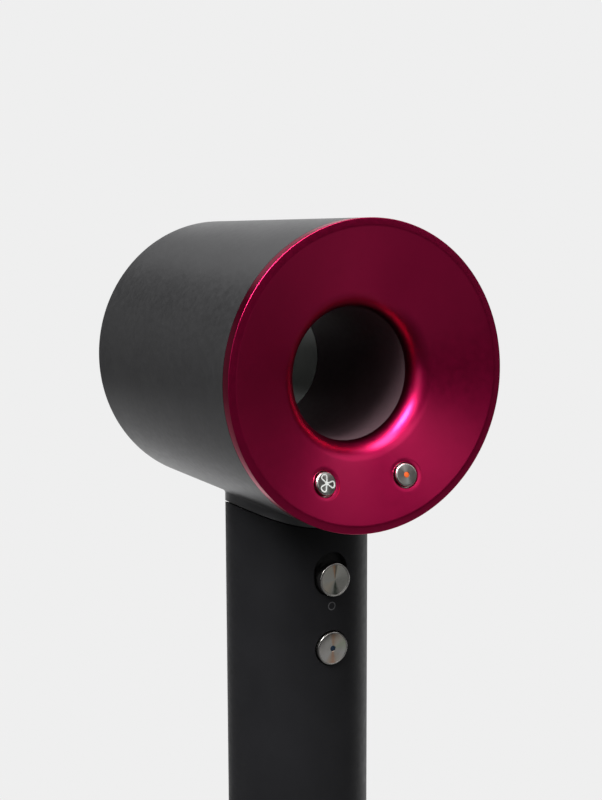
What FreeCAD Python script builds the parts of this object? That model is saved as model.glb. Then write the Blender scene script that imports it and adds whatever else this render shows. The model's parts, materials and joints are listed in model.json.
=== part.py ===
"""Hair dryer: a hollow drum head on a round handle, as an assembly of separate pieces.

Frame: +Z up, origin on the handle's axis at the bottom face. The head's axis runs along Y at
head_height; the user's side (cover and buttons) faces -Y and the air leaves towards +Y.
Units are millimetres. Formulas name cells of the sheet "Sizes".
"""
import FreeCAD, Part
import math
import os
import re
import Sketcher

os.makedirs("parts", exist_ok=True)
Vector = FreeCAD.Vector
Rotation = FreeCAD.Rotation
Placement = FreeCAD.Placement
X_AXIS = Vector(1, 0, 0)
Y_AXIS = Vector(0, 1, 0)
Z_AXIS = Vector(0, 0, 1)

# Driving dimensions ---------------------------------------------------------------------------
SIZES = {
    # head
    "head_radius": 39.0,        # drum radius
    "head_rear": 39.57,         # rear plane, behind the handle's axis
    "head_front": 48.87,        # front plane, ahead of the handle's axis
    "head_height": 206.0,       # drum axis above the base
    "casing_wall": 1.8,
    "seam_gap": 0.2,
    "edge_round": 0.5,
    "lip_width": 3.07,          # cover's lip on the drum's side
    "rim_radius": 38.2,         # where the cover's rim starts to fall inwards
    "rim_round": 6.5,
    "dish_slope": 18.0,         # degrees
    "flare_round": 6.8,
    "cover_wall": 1.4,
    "spigot_depth": 4.0,
    "duct_radius": 17.0,
    "duct_wall": 1.2,
    "duct_seam": 18.35,         # joint between the duct and the nozzle ring
    "slot_inner": 20.2,         # annular air outlet
    "slot_outer": 22.2,
    "face_plate": 2.0,
    "face_rebate": 36.6,
    "throat_depth": 12.0,
    "throat_radius": 27.5,
    "magnet_ring": 31.5,
    # heater
    "shield_inner": 19.5,
    "shield_outer": 34.0,
    "shield_wall": 0.4,
    "heater_rear": 12.0,        # behind the handle's axis
    "heater_front": 28.0,
    "comb_inner": 20.2,
    "comb_outer": 33.6,
    "comb_sheet": 0.6,
    "coil_inner": 22.4,
    "coil_outer": 30.8,
    "coil_width": 6.0,
    "coil_pitch": 12.0,
    "coil_ribbon": 0.3,
    "coil_first": -9.0,
    # electronics in the head
    "board_rear": 27.4,
    "board_sheet": 1.6,
    "board_inner": 21.5,
    "board_outer": 36.0,
    "board_screw_ring": 33.2,
    "screw_radius": 1.0,
    "capacitor_radius": 3.0,
    "capacitor_height": 7.5,
    "chip_depth": 7.0,
    "carrier_rear": 29.4,
    "carrier_sheet": 1.2,
    "switch_stack": 4.35,       # cover's outer skin to the top of a head switch
    "switch_side": 4.4,
    "switch_thick": 1.6,
    # head buttons
    "key_ring": 28.3,           # distance of a head button from the drum's axis
    "key_side": 11.75,          # distance of a head button from the middle plane
    "key_radius": 3.0,
    "key_gap": 0.3,
    "key_proud": 0.77,
    "key_travel": 0.6,
    "key_bevel": 0.38,
    # handle
    "grip_radius": 19.6,
    "grip_wall": 1.6,
    "saddle_radius": 41.5,      # end of the neck collar, about the drum's axis
    "cage_height": 42.2,
    "cage_wall": 1.2,
    "cage_hole": 1.1,
    "cage_first_row": 5.5,
    "cage_row_pitch": 2.25,
    "cage_flange": 10.6,
    "core_radius": 16.2,
    "core_wall": 1.0,
    "core_floor": 3.0,
    "core_rim": 39.8,
    "gland_bore": 3.6,
    "gland_height": 9.6,
    # handle controls
    "thumb_radius": 4.5,
    "slider_height": 150.75,
    "slider_face": 21.5,
    "slider_travel": 2.1,
    "plate_reach": 7.4,         # the slot's backing plate, above and below the knob
    "slot_gap": 0.45,
    "cold_height": 131.7,
    "cold_face": 20.2,
    "cold_travel": 0.8,
    "thumb_bevel": 0.5,
    "dot_radius": 0.72,
    "dot_depth": 0.3,
    "switch_board_back": 9.4,   # behind the handle's axis
    # air path in the handle
    "core_shift": 4.2,          # the upper air duct stands forward of the handle's axis
    "core_outer": 12.5,
    "core_inner": 11.5,
    "core_base": 104.4,
    "core_top": 166.0,
    "gasket_base": 163.4,       # seal where the grip meets the collar
    "bucket_outer": 15.4,
    "bucket_inner": 14.4,
    "bucket_base": 46.4,
    "bucket_top": 103.6,
    "bell_bore": 11.4,          # intake mouth under the motor
    "bell_base": 43.0,
    "bell_round": 3.0,
    "lead_radius": 0.8,
    "lead_ring": 16.7,
    "lead_gallery": 35.8,       # distance of the leads from the drum's axis where they turn rearwards
    # motor
    "shroud_outer": 13.4,
    "shroud_inner": 12.6,
    "shroud_base": 53.0,
    "shroud_top": 92.0,
    "fan_radius": 12.2,
    "fan_base": 56.0,
    "fan_height": 10.0,
    "hub_base_radius": 3.4,
    "hub_top_radius": 7.2,
    "frame_outer": 7.6,
    "frame_inner": 6.95,
    "frame_base": 67.2,
    "frame_top": 90.0,
    "vane_start": 5.0,
    "vane_height": 13.0,
    "vane_sheet": 0.7,
    "bearing_outer": 4.0,
    "bearing_width": 3.0,
    "shaft_radius": 1.5,
    "magnet_radius": 3.2,
    "stator_bore": 3.6,
    "stator_base": 72.5,
    "stator_height": 8.0,
    "tooth_width": 1.4,
    "ball_radius": 0.48,
    "race_wall": 0.8,
}
BLADES = 13
VANES = 11
COMBS = 8
RIBBON_FOLDS = 22
CAGE_COLUMNS = 26
CAGE_ROWS = 15
MAGNETS = 8
TEETH = 6
BALLS = 7

doc = FreeCAD.newDocument("hair_dryer")
sheet = doc.addObject("Spreadsheet::Sheet", "Sizes")
for row, (alias, number) in enumerate(SIZES.items(), start=1):
    sheet.set(f"A{row}", alias)
    sheet.set(f"B{row}", str(number))
    sheet.setAlias(f"B{row}", alias)
doc.recompute()

NODES = {}


# Helpers --------------------------------------------------------------------------------------
def formula(text):
    """An expression for FreeCAD, in which each known size names its cell."""
    return re.sub(r"[a-z_]+", lambda word: "Sizes." + word[0] if word[0] in SIZES else word[0], str(text))


def size(text):
    """The number that a formula gives now."""
    return float(sheet.evalExpression(formula(text)))


def node(name, item):
    """Keep an object as a piece of the assembly."""
    item.Label = name
    NODES[name] = item
    return item


def attached_sketch(body, role, name, lift=0.0):
    sketch = body.newObject("Sketcher::SketchObject", name)
    plane = next(part for part in body.Origin.OriginFeatures if part.Role == role)
    sketch.AttachmentSupport = (plane, "")
    sketch.MapMode = "FlatFace"
    sketch.AttachmentOffset = Placement(Vector(0, 0, lift), Rotation())
    return sketch


def pin_point(sketch, edge, end, across, up):
    """Fix one end of an edge at (across, up), each a formula."""
    for kind, axis, text in (("DistanceX", -2, across), ("DistanceY", -1, up)):
        number = size(text)
        if abs(number) < 1e-9:
            sketch.addConstraint(Sketcher.Constraint("PointOnObject", edge, end, axis))
            continue
        index = sketch.addConstraint(Sketcher.Constraint(kind, -1, 1, edge, end, number))
        if any(word in SIZES for word in re.findall(r"[a-z_]+", str(text))):
            sketch.setExpression(f"Constraints[{index}]", formula(text))


def arc_middle(start, end, radius):
    """Middle point of the arc from start to end; a positive radius bends it left as it is walked."""
    chord = end - start
    half = chord.Length / 2
    left = Vector(-chord.y, chord.x, 0).normalize()
    sagitta = abs(radius) - math.sqrt(max(radius * radius - half * half, 0))
    return (start + end) * 0.5 - left * math.copysign(sagitta, radius)


def outline(sketch, points):
    """Draw a closed outline. A point is (across, up), or (across, up, radius) where an arc arrives."""
    places = [Vector(size(point[0]), size(point[1]), 0) for point in points]
    count = len(points)
    first = sketch.GeometryCount
    for index in range(count):
        start = places[index]
        end = places[(index + 1) % count]
        target = points[(index + 1) % count]
        if len(target) == 2:
            sketch.addGeometry(Part.LineSegment(start, end))
            continue
        sketch.addGeometry(Part.Arc(start, arc_middle(start, end, size(target[2])), end))
    ends = []
    for index in range(count):
        # an arc drawn clockwise is stored the other way round
        clockwise = len(points[(index + 1) % count]) == 3 and size(points[(index + 1) % count][2]) < 0
        ends.append((2, 1) if clockwise else (1, 2))
    for index in range(count):
        following = (index + 1) % count
        sketch.addConstraint(Sketcher.Constraint(
            "Coincident", first + index, ends[index][1], first + following, ends[following][0]))
        pin_point(sketch, first + index, ends[index][0], points[index][0], points[index][1])
        target = points[following]
        if len(target) == 3:
            radius = sketch.addConstraint(Sketcher.Constraint("Radius", first + index, abs(size(target[2]))))
            if not str(target[2]).lstrip("-").replace(".", "").isdigit():
                sign = "-" if size(target[2]) < 0 else ""
                sketch.setExpression(f"Constraints[{radius}]", formula(f"{sign}({target[2]})"))


def circle(sketch, radius, across="0", up="0"):
    index = sketch.addGeometry(Part.Circle(Vector(size(across), size(up), 0), Z_AXIS, size(radius)))
    if abs(size(across)) < 1e-9 and abs(size(up)) < 1e-9:
        sketch.addConstraint(Sketcher.Constraint("Coincident", index, 3, -1, 1))
    else:
        pin_point(sketch, index, 3, across, up)
    fixed = sketch.addConstraint(Sketcher.Constraint("Radius", index, size(radius)))
    sketch.setExpression(f"Constraints[{fixed}]", formula(radius))


def turned(name, points, head=False):
    """A revolved body: (along Y, radius) points about the drum's axis, or (radius, height) about Z."""
    body = doc.addObject("PartDesign::Body", name)
    sketch = attached_sketch(body, "YZ_Plane" if head else "XZ_Plane", name + "_outline")
    outline(sketch, points)
    spin = body.newObject("PartDesign::Revolution", name + "_turn")
    spin.Profile = sketch
    spin.ReferenceAxis = (sketch, ["H_Axis" if head else "V_Axis"])
    spin.Angle = 360
    if head:
        body.setExpression("Placement.Base.z", formula("head_height"))
    doc.recompute()
    return body


def add_pad(body, role, draw, length):
    """Pad what draw(sketch) puts on one of the body's origin planes, half to each side."""
    sketch = attached_sketch(body, role, body.Name + "_sketch")
    draw(sketch)
    pad = body.newObject("PartDesign::Pad", body.Name + "_pad")
    pad.Profile = sketch
    pad.setExpression("Length", formula(length))
    pad.Midplane = True
    doc.recompute()
    return pad


def pocketed(body, role, draw, length, both_ways=False):
    """Cut a pocket and make sure that it removed something."""
    before = body.Shape.Volume
    sketch = attached_sketch(body, role, body.Name + "_cut_sketch")
    draw(sketch)
    pocket = body.newObject("PartDesign::Pocket", body.Name + "_cut")
    pocket.Profile = sketch
    pocket.setExpression("Length", formula(length))
    pocket.Midplane = both_ways
    doc.recompute()
    if body.Shape.Volume > before - 1e-3:
        raise RuntimeError(body.Name + ": a pocket cut nothing")
    return pocket


def around(body, feature, axis_role, count):
    """Repeat a feature around one of the body's own axes."""
    pattern = body.newObject("PartDesign::PolarPattern", body.Name + "_ring")
    pattern.Originals = [feature]
    axis = next(part for part in body.Origin.OriginFeatures if part.Role == axis_role)
    pattern.Axis = (axis, [""])
    pattern.Angle = 360
    pattern.Occurrences = count
    body.Tip = pattern
    doc.recompute()
    return pattern


def rod(name, radius, length, base=Vector(), direction=Z_AXIS):
    """A cylinder from base along direction."""
    item = doc.addObject("Part::Cylinder", name)
    item.setExpression("Radius", formula(radius))
    item.setExpression("Height", formula(length))
    item.Placement = Placement(base, Rotation(Z_AXIS, direction))
    return item


def block(name, sides, corner, turn=Rotation()):
    """A box with sides (formulas) from its lowest corner."""
    item = doc.addObject("Part::Box", name)
    for side, text in zip(("Length", "Width", "Height"), sides):
        item.setExpression(side, formula(text))
    item.Placement = Placement(corner, turn)
    return item


def cut(name, base, tool):
    item = doc.addObject("Part::Cut", name)
    item.Base = base
    item.Tool = tool
    return item


def joined(name, items, kind="Part::MultiFuse"):
    item = doc.addObject(kind, name)
    item.Shapes = items
    return item


def group(name, shapes, place=None):
    """Separate solids kept as one piece of the list, such as a set of screws."""
    item = doc.addObject("Part::Feature", name)
    item.Shape = Part.makeCompound(shapes)
    if place is not None:
        item.Placement = place
    return node(name, item)


def ring(radius, count, start=0.0):
    """Places on a circle in the XZ plane, about the drum's axis at height zero."""
    for index in range(count):
        angle = start + 2 * math.pi * index / count
        yield Vector(radius * math.sin(angle), 0, radius * math.cos(angle)), angle


HEAD = Placement(Vector(0, 0, size("head_height")), Rotation())

# The dished cover's outline, from rim to duct
RIM_DEPTH = "(rim_round * (1 - cos(dish_slope)))"
CONE_RADIUS = "(rim_radius - rim_round * sin(dish_slope))"
FLARE_CENTRE = "(duct_radius + flare_round)"
FLARE_RADIUS = f"({FLARE_CENTRE} - flare_round * sin(dish_slope))"
FLARE_Y = f"(-head_rear + {RIM_DEPTH} + ({CONE_RADIUS} - {FLARE_RADIUS}) * tan(dish_slope))"
FLARE_END = f"({FLARE_Y} + flare_round * cos(dish_slope))"
INNER_ROUND = "(flare_round - cover_wall)"
INNER_RADIUS = f"({FLARE_CENTRE} - {INNER_ROUND} * sin(dish_slope))"
INNER_Y = f"({FLARE_END} - {INNER_ROUND} * cos(dish_slope))"
CASING_BORE = "(head_radius - casing_wall)"
COVER_EDGE = "(-head_rear + lip_width)"
CASING_REAR = f"({COVER_EDGE} + seam_gap)"
SPIGOT_OUTER = f"({CASING_BORE} - 0.05)"
SPIGOT_INNER = f"({SPIGOT_OUTER} - cover_wall)"
GRIP_BORE = "(grip_radius - grip_wall)"


def key_direction(side):
    """The way a head button is pressed: square to the dish, into the head."""
    slope = math.radians(size("dish_slope"))
    drop = math.sqrt(size("key_ring") ** 2 - size("key_side") ** 2)
    outward = Vector(side * size("key_side"), 0, -drop) / size("key_ring")
    return outward * math.sin(slope) + Y_AXIS * math.cos(slope)


def key_place(side):
    """A head button's own frame: origin on the dish's skin, +Z towards the user."""
    drop = math.sqrt(size("key_ring") ** 2 - size("key_side") ** 2)
    depth = size(f"{RIM_DEPTH} + ({CONE_RADIUS} - key_ring) * tan(dish_slope)")
    base = Vector(side * size("key_side"), depth - size("head_rear"), size("head_height") - drop)
    return Placement(base, Rotation(Z_AXIS, key_direction(side) * -1))


# Head: casing, cover and air duct ---------------------------------------------------------------
def head_casing():
    """Drum shell with the neck collar that carries the handle."""
    drum = turned("drum", [
        (CASING_REAR, CASING_BORE),
        (CASING_REAR, "head_radius"),
        ("head_front - edge_round", "head_radius"),
        ("head_front", "head_radius - edge_round", "-edge_round"),
        ("head_front", "face_rebate"),
        ("head_front - face_plate", "face_rebate"),
        ("head_front - face_plate", CASING_BORE),
    ], head=True)
    height = size("head_height")
    length = "head_rear + head_front"
    rear = Vector(0, -size("head_rear"), height)
    outer = rod("collar_outer", "grip_radius", "head_height", Vector(0, 0, 0))
    reach = rod("collar_reach", "saddle_radius", length, rear, Y_AXIS)
    collar = joined("collar_solid", [outer, reach], "Part::MultiCommon")
    hollow = rod("drum_hollow", CASING_BORE, length, rear, Y_AXIS)
    collar_end = cut("collar_end", collar, hollow)
    shell = joined("drum_and_collar", [drum, collar_end])
    neck = rod("neck_bore", GRIP_BORE, "head_height", Vector(0, 0, 0))
    node("head_casing", cut("head_casing", shell, neck))


def rear_cover():
    """Dished trim cover with its lip, bell mouth and two button holes."""
    dish = turned("dish", [
        (COVER_EDGE, "head_radius"),
        ("-head_rear + edge_round", "head_radius"),
        ("-head_rear", "head_radius - edge_round", "edge_round"),
        ("-head_rear", "rim_radius"),
        (f"-head_rear + {RIM_DEPTH}", CONE_RADIUS, "rim_round"),
        (FLARE_Y, FLARE_RADIUS),
        (FLARE_END, "duct_radius", "flare_round"),
        (FLARE_END, "duct_radius + cover_wall"),
        (INNER_Y, INNER_RADIUS, f"-{INNER_ROUND}"),
        (f"{INNER_Y} - ({SPIGOT_INNER} - {INNER_RADIUS}) * tan(dish_slope)", SPIGOT_INNER),
        (f"{COVER_EDGE} + spigot_depth", SPIGOT_INNER),
        (f"{COVER_EDGE} + spigot_depth", SPIGOT_OUTER),
        (COVER_EDGE, SPIGOT_OUTER),
    ], head=True)
    holes = []
    for side in (-1, 1):
        place = key_place(side)
        hole = rod(f"key_hole_{side + 2}", "key_radius + key_gap", "4 * cover_wall")
        hole.Placement = place.multiply(Placement(Vector(0, 0, -2 * size("cover_wall")), Rotation()))
        holes.append(hole)
    node("rear_cover", cut("rear_cover", dish, joined("key_holes", holes)))


def duct_tube():
    """Inner tube through the head, with a seat flange at its rear."""
    node("duct_tube", turned("duct_tube", [
        (f"{FLARE_END} + 0.15", "duct_radius"),
        (f"{FLARE_END} + 0.15", "duct_radius + duct_wall + 1.2"),
        (f"{FLARE_END} + 1.55", "duct_radius + duct_wall + 1.2"),
        (f"{FLARE_END} + 1.55", "duct_radius + duct_wall"),
        ("duct_seam - seam_gap", "duct_radius + duct_wall"),
        ("duct_seam - seam_gap", "duct_radius"),
    ], head=True))


def nozzle_inner_ring():
    """Inner wall of the outlet, rounded at its mouth."""
    node("nozzle_inner_ring", turned("nozzle_inner_ring", [
        ("duct_seam", "duct_radius"),
        ("duct_seam", "duct_radius + duct_wall"),
        ("heater_front + 1.5", "duct_radius + duct_wall"),
        ("head_front - throat_depth", "slot_inner + 0.6"),
        ("head_front - 1.2", "slot_inner"),
        ("head_front - 0.6", "slot_inner - 0.6", "-0.6"),
        ("head_front - 0.6", "duct_radius + 2.0"),
        ("head_front - 4.6", "duct_radius", "-6"),
    ], head=True))


def nozzle_outer_ring():
    """Front face plate with the outer wall of the air slot."""
    node("nozzle_outer_ring", turned("nozzle_outer_ring", [
        ("head_front - 0.3", "slot_outer + 0.5"),
        ("head_front", "slot_outer + 0.9", "-0.4"),
        ("head_front", "face_rebate - 0.25"),
        ("head_front - face_plate + 0.1", "face_rebate - 0.25"),
        ("head_front - face_plate + 0.1", "slot_outer + 3.2"),
        ("head_front - throat_depth", "throat_radius + 1.2"),
        ("head_front - throat_depth", "throat_radius"),
        ("head_front - 3.0", "slot_outer"),
        ("head_front - 0.9", "slot_outer"),
    ], head=True))


# Heater -----------------------------------------------------------------------------------------
def heat_shields():
    for name, radius in (("inner_heat_shield", "shield_inner"), ("outer_heat_shield", "shield_outer")):
        node(name, turned(name, [
            ("-heater_rear - 2", radius),
            ("-heater_rear - 2", f"{radius} + shield_wall"),
            ("heater_front + 1", f"{radius} + shield_wall"),
            ("heater_front + 1", radius),
        ], head=True))


def coil_start(index):
    return f"coil_first + {index} * coil_pitch"


def heater_frame():
    """Mica comb plates on a hub, with a window for each ribbon."""
    body = turned("heater_frame", [
        ("-heater_rear", "comb_inner"),
        ("-heater_rear", "comb_inner + 0.8"),
        ("heater_front", "comb_inner + 0.8"),
        ("heater_front", "comb_inner"),
    ], head=True)

    def draw(sketch):
        outline(sketch, [
            ("-heater_rear", "comb_inner + 0.4"),
            ("-heater_rear", "comb_outer"),
            ("heater_front", "comb_outer"),
            ("heater_front", "comb_inner + 0.4"),
        ])
        for index in range(3):
            start = coil_start(index)
            outline(sketch, [
                (f"{start} - 0.3", "coil_inner - 0.6"),
                (f"{start} - 0.3", "coil_outer + 0.6"),
                (f"{start} + coil_width + 0.3", "coil_outer + 0.6"),
                (f"{start} + coil_width + 0.3", "coil_inner - 0.6"),
            ])

    plate = add_pad(body, "YZ_Plane", draw, "comb_sheet")
    around(body, plate, "Y_Axis", COMBS)
    node("heater_frame", body)


def heater_coils():
    """Folded resistance ribbons, one per window row of the combs."""
    inner = size("coil_inner")
    outer = size("coil_outer")
    corners = []
    for index in range(2 * RIBBON_FOLDS):
        angle = math.pi * index / RIBBON_FOLDS
        radius = inner if index % 2 else outer
        corners.append(Vector(radius * math.sin(angle), 0, radius * math.cos(angle)))
    middle = Part.makePolygon(corners + corners[:1])
    half = size("coil_ribbon") / 2
    faces = [Part.Face(middle.makeOffset2D(side * half)) for side in (-1, 1)]
    faces.sort(key=lambda face: face.Area)
    band = faces[1].cut(faces[0])
    for index in range(3):
        item = doc.addObject("Part::Feature", f"heater_coil_{index + 1}")
        item.Shape = band.extrude(Y_AXIS * size("coil_width"))
        item.Placement = Placement(Vector(0, size(coil_start(index)), size("head_height")), Rotation())
        node(f"heater_coil_{index + 1}", item)


def heater_sensors():
    """Thermal cut-off clipped beside the top comb and a bead thermistor at the outlet."""
    height = size("head_height")
    front = size("heater_front")
    node("thermal_cutoff", block("thermal_cutoff", ("3", "5", "5"), Vector(0.45, front - 5.5, height + 24)))
    bead = Part.makeSphere(1.1, Vector(0, front + 3.5, 0))
    legs = [Part.makeCylinder(0.25, 4.4, Vector(side, front - 0.6, 0), Y_AXIS) for side in (-0.6, 0.6)]
    shape = bead.multiFuse(legs)
    item = doc.addObject("Part::Feature", "thermistor")
    item.Shape = shape
    item.Placement = Placement(Vector(8.0, 0.2, height + 24), Rotation())
    node("thermistor", item)


# Electronics in the head ----------------------------------------------------------------------------
def board_points(radius_name, count=3):
    return [point for point, angle in ring(size(radius_name), count)]


def control_board():
    """Ring-shaped circuit board with three screw holes."""
    body = turned("control_board", [
        ("-board_rear", "board_inner"),
        ("-board_rear", "board_outer"),
        ("-board_rear + board_sheet", "board_outer"),
        ("-board_rear + board_sheet", "board_inner"),
    ], head=True)

    def draw(sketch):
        circle(sketch, "screw_radius + 0.1", "0", "board_screw_ring")

    hole = pocketed(body, "XZ_Plane", draw, "4 * board_rear", both_ways=True)
    around(body, hole, "Y_Axis", 3)
    node("control_board", body)


def board_parts():
    """Round capacitors, a transformer and chips on the forward side of the board."""
    face = size("-board_rear + board_sheet")
    middle = size("board_inner + board_outer") / 2
    shapes = []
    for angle in (95, 128, 265):
        turn = math.radians(angle)
        centre = Vector(middle * math.sin(turn), face, middle * math.cos(turn))
        shapes.append(Part.makeCylinder(size("capacitor_radius"), size("capacitor_height"), centre, Y_AXIS))
    for angle, width, thick in ((60, 9, 5.4), (222, 10, 4), (300, 7, 4.6)):
        turn = math.radians(angle)
        box = Part.makeBox(width, thick, size("chip_depth"), Vector(-width / 2, 0, -size("chip_depth") / 2))
        box.rotate(Vector(), Y_AXIS, angle)
        box.translate(Vector(middle * math.sin(turn), face, middle * math.cos(turn)))
        shapes.append(box)
    group("board_parts", shapes, HEAD)


def board_screws():
    """Pan-head screws that hold the board to the carrier."""
    seat = size("-board_rear + board_sheet")
    shapes = []
    for point in board_points("board_screw_ring"):
        shank = Part.makeCylinder(size("screw_radius"), 4.2, point + Y_AXIS * (seat - 4.2), Y_AXIS)
        head = Part.makeCylinder(1.9, 1.3, point + Y_AXIS * seat, Y_AXIS)
        drive = Part.makeBox(2.4, 0.7, 0.5, point + Vector(-1.2, seat + 0.7, -0.25))
        shapes.append(shank.fuse(head).removeSplitter().cut(drive))
    group("board_screws", shapes, HEAD)


def switch_carrier():
    """Moulded ring with bosses for the board and a tilted pad behind each head button."""
    plate = turned("carrier_plate", [
        ("-carrier_rear", "board_inner"),
        ("-carrier_rear", f"{SPIGOT_INNER} - 0.2"),
        ("-carrier_rear + carrier_sheet", f"{SPIGOT_INNER} - 0.2"),
        ("-carrier_rear + carrier_sheet", "board_inner"),
    ], head=True)
    items = [plate]
    holes = []
    height = size("head_height")
    rear = -size("carrier_rear")
    for index, point in enumerate(board_points("board_screw_ring")):
        base = point + Vector(0, rear, height)
        items.append(rod(f"boss_{index}", "2.2", "carrier_rear - board_rear", base, Y_AXIS))
        holes.append(rod(f"boss_bore_{index}", "screw_radius + 0.05", "9", base - Y_AXIS * 3, Y_AXIS))
    pad = size("switch_side") + 2
    for side in (-1, 1):
        corner = Placement(Vector(-pad / 2, -pad / 2, -size("switch_stack + switch_thick") - 2.2), Rotation())
        box = block(f"pad_{side + 2}", ("switch_side + 2", "switch_side + 2", "2.2"), Vector())
        box.Placement = key_place(side).multiply(corner)
        items.append(box)
    solid = joined("carrier_solid", items)
    node("switch_carrier", cut("switch_carrier", solid, joined("boss_bores", holes)))


def head_switches():
    """Tact switch bodies on the carrier's pads."""
    half = size("switch_side") / 2
    for side, name in ((-1, "speed_switch"), (1, "heat_switch")):
        item = block(name, ("switch_side", "switch_side", "switch_thick"), Vector())
        drop = -size("switch_stack + switch_thick")
        item.Placement = key_place(side).multiply(Placement(Vector(-half, -half, drop), Rotation()))
        node(name, item)


def ion_parts():
    """Ion generator block over the duct, and its needle emitter near the outlet."""
    height = size("head_height")
    node("ion_generator", block("ion_generator", ("12", "8", "7"), Vector(-6, -24.0, height + 23.5)))
    body = Part.makeCylinder(1.4, 6, Vector(0, 0, 0), Y_AXIS)
    needle = Part.makeCone(0.5, 0.1, 4, Vector(0, 6, 0), Y_AXIS)
    item = doc.addObject("Part::Feature", "ion_emitter")
    item.Shape = body.fuse(needle).removeSplitter()
    item.Placement = Placement(Vector(0, size("heater_front") + 2, height - 29.5), Rotation())
    node("ion_emitter", item)


def attachment_magnets():
    back = size("head_front - face_plate") - 2.2
    shapes = [Part.makeCylinder(2.0, 2.0, point + Y_AXIS * back, Y_AXIS)
              for point, angle in ring(size("magnet_ring"), MAGNETS, math.pi / MAGNETS)]
    group("attachment_magnets", shapes, HEAD)


# Head buttons -----------------------------------------------------------------------------------------
def head_button(side, name, dotted):
    """Round metal cap with a retaining flange and a stem that works the switch."""
    points = [
        ("0", "key_proud"),
        ("key_radius - key_bevel", "key_proud"),
        ("key_radius", "key_proud - key_bevel"),
        ("key_radius", "-cover_wall - key_gap"),
        ("key_radius + 0.9", "-cover_wall - key_gap"),
        ("key_radius + 0.9", "-cover_wall - key_gap - 0.8"),
        ("1.0", "-cover_wall - key_gap - 0.8"),
        ("1.0", "key_travel + 0.4 - switch_stack"),
        ("0", "key_travel + 0.4 - switch_stack"),
    ]
    if dotted:
        points[0:1] = [("0", "key_proud - dot_depth"), ("dot_radius + 0.04", "key_proud - dot_depth"),
                       ("dot_radius + 0.04", "key_proud")]
    body = turned(name, points)
    body.Placement = key_place(side)
    node(name, body)
    if dotted:
        dot = rod("heat_dot", "dot_radius", "dot_depth")
        lift = Placement(Vector(0, 0, size("key_proud - dot_depth")), Rotation())
        dot.Placement = key_place(side).multiply(lift)
        node("heat_dot", dot)


# Handle ----------------------------------------------------------------------------------------------
def handle_shell():
    """Round grip, saddle-cut under the collar, with the slider's slot and the cold button's hole."""
    tube = turned("grip_tube", [
        (GRIP_BORE, "cage_height + 0.3"),
        ("grip_radius", "cage_height + 0.3"),
        ("grip_radius", "head_height - head_radius + 6"),
        (GRIP_BORE, "head_height - head_radius + 6"),
    ])

    reach = "grip_radius + 4"
    outward = Y_AXIS * -1
    low = Vector(0, 0, size("slider_height"))
    high = Vector(0, 0, size("slider_height + slider_travel"))
    half = size("thumb_radius + slot_gap")
    cutters = [
        rod("slot_low", "thumb_radius + slot_gap", reach, low, outward),
        rod("slot_high", "thumb_radius + slot_gap", reach, high, outward),
        block("slot_middle", ("2 * (thumb_radius + slot_gap)", reach, "slider_travel"),
              low + Vector(-half, -size(reach), 0)),
        rod("cold_hole", "thumb_radius + key_gap", reach, Vector(0, 0, size("cold_height")), outward),
    ]
    rear = Vector(0, -size("head_rear"), size("head_height"))
    cutters.append(rod("saddle", "saddle_radius + seam_gap", "head_rear + head_front", rear, Y_AXIS))
    node("handle_shell", cut("handle_shell", tube, joined("grip_cuts", cutters)))


def power_slider():
    """Round slider knob with a stem through its backing plate."""
    back = "(grip_radius - grip_wall - 0.3)"
    body = turned("power_slider", [
        ("0", "slider_face"),
        ("thumb_radius - thumb_bevel", "slider_face"),
        ("thumb_radius", "slider_face - thumb_bevel"),
        ("thumb_radius", back),
        ("2", back),
        ("2", "14.2"),
        ("0", "14.2"),
    ])
    body.Placement = thumb_place("slider_height")
    node("power_slider", body)


def thumb_place(height):
    """Frame of a handle button: +Z out of the grip, towards the user."""
    return Placement(Vector(0, 0, size(height)), Rotation(Z_AXIS, Y_AXIS * -1))


def slider_plate():
    """Curved plate that rides inside the grip and closes the slot behind the knob."""
    band = turned("plate_band", [
        (f"{GRIP_BORE} - 1.4", "slider_height - plate_reach"),
        (f"{GRIP_BORE} - 0.4", "slider_height - plate_reach"),
        (f"{GRIP_BORE} - 0.4", "slider_height + plate_reach + slider_travel + 0.7"),
        (f"{GRIP_BORE} - 1.4", "slider_height + plate_reach + slider_travel + 0.7"),
    ])
    window = block("plate_window", ("14", "20", "30"), Vector(-7, -20, size("slider_height") - 12))
    strip = joined("plate_strip", [band, window], "Part::MultiCommon")
    bore = rod("plate_bore", "2.05", "20")
    bore.Placement = thumb_place("slider_height")
    node("slider_plate", cut("slider_plate", strip, bore))


COLD_SWITCH_FACE = "(switch_board_back + 3.5)"


def cold_shot_button():
    """Sprung push button with a retaining flange, a switch stem and a coloured centre dot."""
    body = turned("cold_shot_button", [
        ("0", "cold_face - dot_depth"),
        ("dot_radius + 0.04", "cold_face - dot_depth"),
        ("dot_radius + 0.04", "cold_face"),
        ("thumb_radius - thumb_bevel", "cold_face"),
        ("thumb_radius", "cold_face - thumb_bevel"),
        ("thumb_radius", "16.8"),
        ("thumb_radius + 0.9", "16.8"),
        ("thumb_radius + 0.9", "15.8"),
        ("1.2", "15.8"),
        ("1.2", f"{COLD_SWITCH_FACE} + cold_travel + 0.5"),
        ("0", f"{COLD_SWITCH_FACE} + cold_travel + 0.5"),
    ])
    body.Placement = thumb_place("cold_height")
    node("cold_shot_button", body)
    dot = rod("cold_dot", "dot_radius", "dot_depth")
    lift = Placement(Vector(0, 0, size("cold_face - dot_depth")), Rotation())
    dot.Placement = thumb_place("cold_height").multiply(lift)
    node("cold_dot", dot)


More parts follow.
